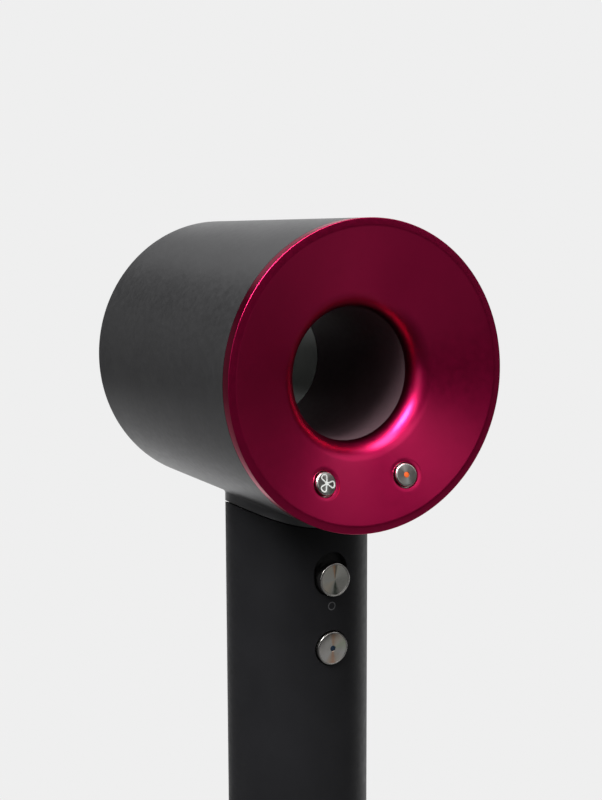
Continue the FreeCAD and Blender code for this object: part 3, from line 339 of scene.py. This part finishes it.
def lathe(name, profile, segments=320, place=Matrix(), material=None, closed=True):
    """Revolve a (radius, height) outline in millimetres about the local Z axis, then put it in place."""
    shape = bmesh.new()
    rings = []
    for radius, height in profile:
        if radius < 1e-6:
            rings.append([shape.verts.new((0, 0, height * MM))])
            continue
        rings.append([
            shape.verts.new((radius * MM * math.cos(2 * math.pi * step / segments),
                             radius * MM * math.sin(2 * math.pi * step / segments), height * MM))
            for step in range(segments)])
    pairs = list(zip(rings, rings[1:] + rings[:1])) if closed else list(zip(rings, rings[1:]))
    for low, high in pairs:
        for step in range(segments):
            after = (step + 1) % segments
            if len(low) == 1 and len(high) == 1:
                break
            if len(low) == 1:
                shape.faces.new((low[0], high[after], high[step]))
            elif len(high) == 1:
                shape.faces.new((low[step], low[after], high[0]))
            else:
                shape.faces.new((low[step], low[after], high[after], high[step]))
    made = new_object(name, mesh_of(name, shape))
    made.matrix_world = place
    if material:
        made.data.materials.append(material)
    return made


def rod(name, radius, low, high, segments, place=Matrix()):
    """Solid cylinder for a boolean, from low to high along the local Z axis."""
    return lathe(name, [(0, low), (radius, low), (radius, high), (0, high)], segments, place, closed=False)


def carve(target, cutters, operation="DIFFERENCE"):
    """Apply exact booleans, and remove the cutters."""
    bpy.context.view_layer.update()
    for cutter in cutters:
        modifier = target.modifiers.new("cut", "BOOLEAN")
        modifier.operation = operation
        modifier.solver = "EXACT"
        modifier.object = cutter
    bpy.context.view_layer.update()
    evaluated = target.evaluated_get(bpy.context.evaluated_depsgraph_get())
    result = bpy.data.meshes.new_from_object(evaluated)
    target.modifiers.clear()
    target.data = result
    for cutter in cutters:
        bpy.data.objects.remove(cutter)


def finish_surface(piece, angle=28):
    """Smooth shading, with creases above the angle kept sharp and points within 2 microns merged."""
    shape = bmesh.new()
    shape.from_mesh(piece.data)
    bmesh.ops.remove_doubles(shape, verts=shape.verts, dist=0.000002)
    shape.to_mesh(piece.data)
    shape.free()
    piece.data.shade_smooth()
    piece.data.set_sharp_from_angle(angle=math.radians(angle))


def stand_for(piece, body, material_slot, *nodes):
    """The piece rides on a body in place of CAD nodes."""
    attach(piece, body)
    if nodes:
        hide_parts(*nodes)


# The drum head ---------------------------------------------------------------------------------
REAR = -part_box("rear_cover")[0].y / MM
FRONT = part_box("head_casing")[1].y / MM
DRUM = HEAD_RADIUS / MM
GRIP = GRIP_RADIUS / MM
SLOPE = 18.0        # fall of the dish towards the bore, in degrees
LIP = 3.07          # depth of the cover's lip on the drum's side
SEAM = 0.2          # gap between neighbouring shells
EDGE = 0.5          # round on the casing's front edge
CORNER = 0.2        # round on the cover's outer edge
CREST = 2.4         # round between the flat rim and the dish
FACET = 1.6         # width of the flat rim
BORE = 17.0         # radius of the air bore
FLARE = 6.8         # round of the bell mouth
SKIN = 1.4          # thickness of the cover
CASING_WALL = 1.8
GRIP_WALL = 1.6
DUCT_OUTER = 18.2   # outer radius of the duct tube
SADDLE = 41.5       # end of the neck collar, from the drum's axis
NECK_ROUND = 1.2    # concave round between the drum and the collar
NECK_SINK = 0.012   # how far that round's ends run into the walls, so that the union is clean
FAR = 60            # reach of a cutter past whatever it cuts
DUCT_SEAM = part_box("nozzle_inner_ring")[0].y / MM


def cover_outline():
    """(radius, height along the drum) of the dished cover, from the lip round to its back."""
    tangent = math.tan(math.radians(SLOPE))
    apex = (DRUM - FACET, CREST - REAR)
    cone = apex[0] - CREST * math.sin(math.radians(SLOPE))
    rim_fall = CREST * (1 - math.cos(math.radians(SLOPE)))
    flare_centre = BORE + FLARE
    flare_edge = flare_centre - FLARE * math.sin(math.radians(SLOPE))
    flare_height = -REAR + rim_fall + (cone - flare_edge) * tangent
    centre_height = flare_height + FLARE * math.cos(math.radians(SLOPE))
    points = [(DRUM - 0.04, LIP - REAR), (DRUM, LIP - 0.04 - REAR), (DRUM, 2.2 - REAR)]
    points += arc((DRUM - CORNER, CORNER - REAR), CORNER, 0, -90, 10)
    points += arc(apex, CREST, -90, -90 - SLOPE, 16)
    for step in range(1, 8):
        radius = cone + (flare_edge - cone) * step / 8
        points.append((radius, -REAR + rim_fall + (cone - radius) * tangent))
    points += arc((flare_centre, centre_height), FLARE, 270 - SLOPE, 180, 30)
    points += arc((flare_centre, centre_height), FLARE - SKIN, 180, 270 - SLOPE, 12)
    inner = flare_centre - (FLARE - SKIN) * math.sin(math.radians(SLOPE))
    inner_height = centre_height - (FLARE - SKIN) * math.cos(math.radians(SLOPE))
    wall = DRUM - CASING_WALL - 0.05
    points.append((wall - SKIN, inner_height - (wall - SKIN - inner) * tangent))
    points += [(wall - SKIN, LIP + 4 - REAR), (wall, LIP + 4 - REAR), (wall, LIP - REAR)]
    return points


def key_frame(joint, node):
    """A pressed button's own frame: origin on its outer face, +Z towards the user."""
    inward = Vector(JOINTS[joint]["axis"]).normalized()
    reach = [(vertex.co.dot(inward), vertex.co) for vertex in NODES[node].data.vertices]
    nearest = min(depth for depth, place in reach)
    face = [place for depth, place in reach if depth < nearest + 0.02 * MM]
    centre = sum(face, Vector()) / len(face)
    turn = Vector((0, 0, 1)).rotation_difference(-inward).to_matrix().to_4x4()
    return Matrix.Translation(centre) @ turn


KEY = 3.0           # radius of a head button
KEY_PROUD = 0.77    # how far it stands out of the dish
SPEED_FRAME = key_frame("speed_press", "speed_button")
HEAT_FRAME = key_frame("heat_press", "heat_button")
COLD_FRAME = key_frame("cold_shot_press", "cold_shot_button")


def make_cover():
    """Cover skin with a pocket round each head button."""
    cover = lathe("cover_skin", cover_outline(), 400, HEAD_AXIS, cover_paint)
    cutters = []
    for index, place in enumerate((SPEED_FRAME, HEAT_FRAME)):
        profile = [(0, -6.0), (KEY + 0.3, -6.0)] + arc((3.62, -KEY_PROUD - 0.3), 0.32, 180, 100, 8)
        profile += [(4.4, -KEY_PROUD + 0.05), (4.4, 2), (0, 2)]
        cutters.append(lathe(f"cutter_{index}", profile, 96, place, closed=False))
    carve(cover, cutters)
    finish_surface(cover)
    stand_for(cover, "dryer", "cover_magenta", "rear_cover")


def neck_round(segments=256, steps=10):
    """Closed ring that fills the corner between drum and collar with a concave round.

    Each section is a half plane through the handle's axis. The round touches the collar's wall and the
    drum's underside, where touch, found by iteration, is the radius at which it meets the drum.
    """
    buried = 0.6
    shape = bmesh.new()
    rings = []
    for segment in range(segments):
        turn = 2 * math.pi * segment / segments
        share = math.cos(turn) ** 2

        def drum_height(radius):
            return -math.sqrt(DRUM ** 2 - share * radius ** 2)

        touch = GRIP + NECK_ROUND
        for _ in range(12):
            rise = -touch * share / drum_height(touch)
            touch = GRIP + NECK_ROUND * (1 - rise / math.hypot(1, rise))
        centre = (GRIP + NECK_ROUND, drum_height(touch) - NECK_ROUND / math.hypot(1, rise))
        outline = arc(centre, NECK_ROUND + NECK_SINK, 90 + math.degrees(math.atan(rise)), 180, steps)
        outline += [(GRIP - buried, centre[1]), (GRIP - buried, drum_height(GRIP - buried) + buried),
                    (touch, drum_height(touch) + buried)]
        rings.append([shape.verts.new((radius * MM * math.cos(turn), radius * MM * math.sin(turn),
                                       HEAD_Z + height * MM)) for radius, height in outline])
    for ring, after in zip(rings, rings[1:] + rings[:1]):
        for low in range(len(ring)):
            high = (low + 1) % len(ring)
            shape.faces.new((ring[low], ring[high], after[high], after[low]))
    return new_object("neck_round", mesh_of("neck_round", shape))


def make_casing():
    """Drum shell and neck collar, with the front edge eased."""
    wall = DRUM - CASING_WALL
    rear = LIP + SEAM - REAR
    points = [(wall, rear), (DRUM, rear), (DRUM, rear + 1.2), (DRUM, FRONT - 1.6)]
    points += arc((DRUM - EDGE, FRONT - EDGE), EDGE, 0, 90, 10)
    mouth = 36.6
    points += [(mouth, FRONT), (mouth, FRONT - 2), (wall, FRONT - 2)]
    casing = lathe("casing_skin", points, 400, HEAD_AXIS, casing_paint)
    height = HEAD_Z / MM
    collar = rod("collar", GRIP, height - 50, height - 20, 256)
    carve(collar, [rod("reach", SADDLE, -FAR, FAR, 400, HEAD_AXIS)], "INTERSECT")
    carve(collar, [rod("hollow", wall + 0.4, -FAR, FAR, 400, HEAD_AXIS)])
    carve(casing, [collar, neck_round()], "UNION")
    carve(casing, [rod("neck", GRIP - GRIP_WALL, height - FAR, height, 256)])
    finish_surface(casing)
    stand_for(casing, "dryer", "casing_grey", "head_casing")


def make_duct():
    """Duct tube, outlet ring and front plate as dense turned skins."""
    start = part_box("duct_tube")[0].y / MM - 0.14
    flange = 1.4
    duct = lathe("duct_skin", [
        (BORE, start), (BORE, DUCT_SEAM - SEAM - 0.25), (BORE + 0.2, DUCT_SEAM - SEAM),
        (DUCT_OUTER, DUCT_SEAM - SEAM), (DUCT_OUTER, start + flange), (DUCT_OUTER + 1.2, start + flange),
        (DUCT_OUTER + 1.2, start)], 256, HEAD_AXIS, duct_grey_with_painted_pink)
    finish_surface(duct)
    stand_for(duct, "dryer", "duct_grey", "duct_tube")
    lip = FRONT - 0.6
    ring = [(DUCT_OUTER, DUCT_SEAM), (BORE + 0.2, DUCT_SEAM), (BORE, DUCT_SEAM + 0.1), (BORE, FRONT - 4.6)]
    ring += arc((BORE + 5.0, FRONT - 4.6), 5.0, 180, 127, 12)
    ring += [(19.2, lip)] + arc((19.6, FRONT - 1.2), 0.6, 90, 0, 8)
    ring += [(20.8, FRONT - 12), (DUCT_OUTER, 29.5)]
    inner = lathe("nozzle_inner_skin", ring, 256, HEAD_AXIS, nozzle_paint)
    finish_surface(inner)
    stand_for(inner, "dryer", "nozzle_grey", "nozzle_inner_ring")
    face = [(22.2, FRONT - 3), (22.2, FRONT - 0.7)] + arc((22.9, FRONT - 0.7), 0.7, 180, 90, 8)
    face += arc((36.1, FRONT - 0.25), 0.25, 90, 0, 5)
    face += [(36.35, FRONT - 1.9), (25.4, FRONT - 1.9), (28.7, FRONT - 12), (27.5, FRONT - 12)]
    outer = lathe("nozzle_outer_skin", face, 320, HEAD_AXIS, nozzle_paint)
    finish_surface(outer)
    stand_for(outer, "dryer", "nozzle_grey", "nozzle_outer_ring")


# The handle -------------------------------------------------------------------------------------
SLIDER_Z = middle("power_slider").z
SLIDER_FACE = -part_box("power_slider")[0].y / MM
TRAVEL = JOINTS["power_slide"]["range_m"][1] / MM
THUMB = 4.5                 # radius of the handle's two buttons
GRIP_TOP = SADDLE + 0.32    # saddle cut of the handle, from the drum's axis
MARK_HEIGHT = 143.2         # off mark, between the two buttons
TO_USER = Matrix.Rotation(math.pi / 2, 4, "X")


def make_grip():
    """Handle skin, saddle-cut at the top, with the slider's slot and the cold button's hole."""
    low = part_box("handle_shell")[0].z / MM
    height = HEAD_Z / MM
    bore = GRIP - GRIP_WALL
    profile = [(bore, low), (GRIP - 0.25, low), (GRIP, low + 0.25), (GRIP, low + 1), (GRIP, height - 33),
               (bore, height - 33)]
    grip = lathe("grip_skin", profile, 320, Matrix(), grip_rubber)
    saddle = rod("saddle", GRIP_TOP, -FAR, FAR, 400, HEAD_AXIS)
    slot = THUMB + 0.45
    outline = [(slot * math.cos(math.radians(angle)), slot * math.sin(math.radians(angle)) + lift)
               for first, lift in ((180, 0), (0, TRAVEL)) for angle in range(first, first + 181, 6)]
    shape = bmesh.new()
    front = [shape.verts.new((x * MM, -25 * MM, SLIDER_Z + z * MM)) for x, z in outline]
    back = [shape.verts.new((x * MM, -10 * MM, SLIDER_Z + z * MM)) for x, z in outline]
    shape.faces.new(front)
    shape.faces.new(back[::-1])
    for index in range(len(outline)):
        after = (index + 1) % len(outline)
        shape.faces.new((front[index], back[index], back[after], front[after]))
    hole = rod("hole", THUMB + 0.3, -6, 6, 128, COLD_FRAME)
    carve(grip, [saddle, new_object("slot", mesh_of("slot", shape)), hole])
    finish_surface(grip)
    stand_for(grip, "dryer", "grip_black", "handle_shell")


# The buttons ------------------------------------------------------------------------------------
def turned_cap(name, face, side, place, face_metal, body, material_slot, node):
    """Button turned from bar: the face has its own spun finish and the rest is plain metal."""
    cap = lathe(name, face + side, 160, place, edge_metal, closed=False)
    cap.data.materials.append(face_metal)
    limit = max(radius for radius, height in face) * MM
    lowest = min(height for radius, height in face) * MM
    for polygon in cap.data.polygons:
        centre = polygon.center
        if math.hypot(centre.x, centre.y) < limit and centre.z > lowest - 1e-6:
            polygon.material_index = 1
    finish_surface(cap, 20)
    stand_for(cap, body, material_slot, node)


def ribbon(name, paths, half_width, thickness, material, place, bend=0.0):
    """Thin printed lines along closed (x, y) paths; bend wraps them round a cylinder of that radius."""
    shape = bmesh.new()

    def put(x, y, z):
        if bend:
            reach = bend + z
            height = reach * math.cos(x / bend) - bend
            return shape.verts.new((reach * math.sin(x / bend) * MM, y * MM, height * MM))
        return shape.verts.new((x * MM, y * MM, z * MM))

    for path in paths:
        rows = []
        for index, (x, y) in enumerate(path):
            before = Vector(path[index - 1])
            after = Vector(path[(index + 1) % len(path)])
            along = (after - before).normalized()
            across = Vector((-along.y, along.x)) * half_width
            rows.append([put(x + side * across.x, y + side * across.y, level * thickness)
                         for side, level in ((1, 1), (-1, 1), (-1, -1), (1, -1))])
        for row, following in zip(rows, rows[1:] + rows[:1]):
            for corner in range(4):
                after = (corner + 1) % 4
                shape.faces.new((row[corner], row[after], following[after], following[corner]))
    made = new_object(name, mesh_of(name, shape))
    made.data.materials.append(material)
    made.matrix_world = place
    return made


def blade_path(centre_angle, half_angle, reach, corner):
    """A fan blade's outline: two straight edges from the hub, joined by a round end."""
    first = centre_angle - half_angle
    last = centre_angle + half_angle

    def at(radius, angle):
        return (radius * math.cos(math.radians(angle)), radius * math.sin(math.radians(angle)))

    radii = (0.3, 0.8, 1.3, reach - corner)
    points = [at(radius, first) for radius in radii]
    for step in range(1, 8):
        part = step / 8
        swell = reach - corner + corner * math.sin(math.pi * part) ** 0.5
        points.append(at(swell, first + (last - first) * part))
    return points + [at(radius, last) for radius in radii[::-1]]


def make_buttons():
    """Slider knob, cold button and the two head buttons, with their dots and marks."""
    bevel = 0.42
    for name, place, dotted, node in (
            ("speed_cap", SPEED_FRAME, False, "speed_button"),
            ("heat_cap", HEAT_FRAME, True, "heat_button")):
        face = [(0, -0.3), (0.76, -0.3), (0.76, -0.04), (0.8, 0)] if dotted else [(0, 0), (0.8, 0)]
        face += [(1.6, 0), (KEY - bevel, 0)]
        side = arc((KEY - bevel, -bevel), bevel, 90, 0, 8)[1:]
        side += [(KEY, -2.3), (KEY, -2.47), (3.9, -2.47), (3.9, -3.27)]
        side += [(1.0, -3.27), (1.0, -4.12), (0, -4.12)]
        turned_cap(name, face, side, place, key_metal, node, "button_metal", node)
    blades = [blade_path(angle, 27, 2.3, 0.45) for angle in (113, -7, -127)]
    icon = ribbon("fan_icon", blades, 0.17, 0.02, icon_print, SPEED_FRAME)
    stand_for(icon, "speed_button", "button_metal")
    hub = lathe("fan_hub", [(0, 0.03), (0.46, 0.03), (0.52, -0.02), (0, -0.02)], 32, SPEED_FRAME, icon_print,
                closed=False)
    stand_for(hub, "speed_button", "button_metal")

    slider_frame = Matrix.Translation((0, -SLIDER_FACE * MM, SLIDER_Z)) @ TO_USER
    lip = [(0, -0.16), (1.5, -0.15), (3.0, -0.13), (3.86, -0.12), (3.98, -0.02)]
    rim = arc((4.18, -0.1), 0.1, 130, 90, 3) + arc((THUMB - 0.28, -0.28), 0.28, 90, 0, 8)
    rim += [(THUMB, -3.3), (THUMB, -3.8), (2, -3.8), (2, -7.3), (0, -7.3)]
    turned_cap("slider_cap", lip, rim, slider_frame, slider_metal, "power_slider", "button_metal",
               "power_slider")

    face = [(0, -0.3), (0.76, -0.3), (0.76, -0.05), (0.84, 0), (2.4, 0), (4.02, 0)]
    side = arc((4.1, -0.06), 0.06, 130, 60, 3) + arc((THUMB - 0.32, -0.34), 0.32, 80, 0, 8)
    side += [(THUMB, -3.2), (THUMB, -3.4), (5.4, -3.4), (5.4, -4.4), (1.2, -4.4), (1.2, -6.0), (0, -6.0)]
    turned_cap("cold_cap", face, side, COLD_FRAME, cold_metal, "cold_shot_button", "button_metal",
               "cold_shot_button")

    for name, place, paint, body, material_slot, node in (
            ("heat_spot", HEAT_FRAME, dot_orange, "heat_button", "heat_orange", "heat_dot"),
            ("cold_spot", COLD_FRAME, dot_blue, "cold_shot_button", "cold_blue", "cold_dot")):
        dome = [(0, -0.02), (0.5, -0.03), (0.66, -0.06), (0.72, -0.12), (0.72, -0.3), (0, -0.3)]
        spot = lathe(name, dome, 64, place, paint, closed=False)
        finish_surface(spot)
        stand_for(spot, body, material_slot, node)

    circle = [(math.cos(math.radians(angle)), math.sin(math.radians(angle)))
              for angle in range(0, 360, 6)]
    mark_place = Matrix.Translation((0, -GRIP_RADIUS, MARK_HEIGHT * MM)) @ TO_USER
    mark = ribbon("off_mark", [circle], 0.125, 0.012, mark_print, mark_place, bend=GRIP)
    stand_for(mark, "dryer", "grip_black")


make_cover()
make_casing()
make_duct()
make_grip()
make_buttons()


# Stage, lights and camera ------------------------------------------------------------------------
BACKDROP = 0.863
FLOOR_DROP = 0.075      # the floor lies this far below, so that the pulled cage can be seen
BOUNCE_STRENGTH = 1.6
# Light from the floor by azimuth, in degrees from the buttons' side and positive to +X.
BOUNCE = (
    (-90, 0.03), (-45, 0.015), (-12, 0.06), (5, 0.12), (24, 0.08), (38, 0.17), (60, 0.06), (86, 0.1),
    (112, 0.8), (138, 0.6), (155, 0.26), (172, 0.7), (187, 0.28), (200, 0.05), (225, 0.12), (250, 0.07),
    (269, 0.03))


def blank_tree(tree, output_kind):
    """Leave the tree a single mix: first what it lights the dryer with, then what the camera sees."""
    tree.nodes.clear()
    output = tree.nodes.new(output_kind)
    sight = tree.nodes.new("ShaderNodeLightPath")
    mix = tree.nodes.new("ShaderNodeMixShader")
    tree.links.new(sight.outputs["Is Camera Ray"], mix.inputs["Fac"])
    tree.links.new(mix.outputs["Shader"], output.inputs["Surface"])
    return mix


def make_floor():
    """Pale floor; the light it bounces is dim in front on the left and bright behind on the right."""
    mesh = bpy.data.meshes.new("floor")
    shape = bmesh.new()
    bmesh.ops.create_circle(shape, cap_ends=True, segments=128, radius=1.2)
    shape.to_mesh(mesh)
    shape.free()
    floor = new_object("floor", mesh)
    floor.location = (0, 0, -FLOOR_DROP)
    material = bpy.data.materials.new("floor")
    material.use_nodes = True
    tree = material.node_tree
    mix = blank_tree(tree, "ShaderNodeOutputMaterial")
    seen = tree.nodes.new("ShaderNodeEmission")
    seen.inputs["Strength"].default_value = BACKDROP
    where = tree.nodes.new("ShaderNodeTexCoord")
    turn = tree.nodes.new("ShaderNodeTexGradient")
    turn.gradient_type = "RADIAL"
    tree.links.new(where.outputs["Object"], turn.inputs["Vector"])
    ramp = tree.nodes.new("ShaderNodeValToRGB")
    stops = ramp.color_ramp.elements
    for index, (azimuth, level) in enumerate(BOUNCE):
        turned = 0.25 + azimuth / 360
        stop = stops[0] if index == 0 else stops.new(turned)
        stop.position = turned
        stop.color = (level, level, level, 1)
    stops.remove(stops[-1])
    tree.links.new(turn.outputs["Fac"], ramp.inputs["Fac"])
    bounce = tree.nodes.new("ShaderNodeEmission")
    bounce.inputs["Strength"].default_value = BOUNCE_STRENGTH
    tree.links.new(ramp.outputs["Color"], bounce.inputs["Color"])
    tree.links.new(bounce.outputs["Emission"], mix.inputs[1])
    side = tree.nodes.new("ShaderNodeNewGeometry")
    clear = tree.nodes.new("ShaderNodeBsdfTransparent")
    one_sided = tree.nodes.new("ShaderNodeMixShader")
    tree.links.new(side.outputs["Backfacing"], one_sided.inputs["Fac"])
    tree.links.new(seen.outputs["Emission"], one_sided.inputs[1])
    tree.links.new(clear.outputs["BSDF"], one_sided.inputs[2])
    tree.links.new(one_sided.outputs["Shader"], mix.inputs[2])
    mesh.materials.append(material)


def make_world():
    """Backdrop tone for the camera; almost no light of its own."""
    world = bpy.data.worlds.new("studio")
    scene.world = world
    world.use_nodes = True
    tree = world.node_tree
    mix = blank_tree(tree, "ShaderNodeOutputWorld")
    backdrop = tree.nodes.new("ShaderNodeBackground")
    backdrop.inputs["Color"].default_value = (BACKDROP, BACKDROP, BACKDROP, 1)
    room = tree.nodes.new("ShaderNodeBackground")
    room.inputs["Color"].default_value = (0.004, 0.004, 0.004, 1)
    tree.links.new(room.outputs["Background"], mix.inputs[1])
    tree.links.new(backdrop.outputs["Background"], mix.inputs[2])


LIT_POINT = Vector((0, 0, 0.2))
LIGHT_DISTANCE = 0.9


def softbox(name, azimuth, elevation, power, width=0.5):
    """Round light aimed at the lit point; azimuth in degrees from the buttons' side, positive to +X."""
    light = bpy.data.lights.new(name, "AREA")
    light.shape = "DISK"
    light.size = width
    light.energy = power
    lamp = bpy.data.objects.new(name, light)
    scene.collection.objects.link(lamp)
    turn = math.radians(azimuth)
    lift = math.radians(elevation)
    direction = Vector((math.sin(turn) * math.cos(lift), -math.cos(turn) * math.cos(lift), math.sin(lift)))
    lamp.location = LIT_POINT + LIGHT_DISTANCE * direction
    lamp.rotation_euler = (-direction).to_track_quat("-Z", "Y").to_euler()
    lamp.visible_camera = False


def make_camera():
    """Handheld-height view from the buttons' side, a little above the head's middle."""
    data = bpy.data.cameras.new("camera")
    data.sensor_fit = "VERTICAL"
    data.sensor_height = 36
    data.sensor_width = 36
    data.lens = 56.78
    camera = bpy.data.objects.new("camera", data)
    scene.collection.objects.link(camera)
    camera.location = (-0.162041, -0.301171, 0.240825)
    tilt, roll, turn = 82.545, 0.194, -28.583
    camera.rotation_euler = [math.radians(angle) for angle in (tilt, roll, turn)]
    data.shift_x = -0.00125
    data.clip_start = 0.01
    scene.camera = camera


make_world()
make_floor()
make_camera()
softbox("overhead", 0, 68, 4.6)
softbox("key", -45, 38, 0.7)
softbox("front", 0, 32, 0.45)
softbox("fill_right", 42, 30, 0.55)
softbox("sparkle_low", -66, 41, 3.0, 0.28)
softbox("sparkle_middle", -64, 51, 4.6, 0.28)
softbox("sparkle_high", -58, 62, 4.0, 0.28)
softbox("low_left", -68, 8, 0.4)
softbox("low_front", 3, 21, 0.34)
softbox("low_right", 50, 3, 0.07)
softbox("high_right", 60, 68, 0.5)
softbox("back", 180, 38, 0.2)
softbox("back_left", -152, 2, 0.04)
softbox("back_right", 152, 12, 0.58)
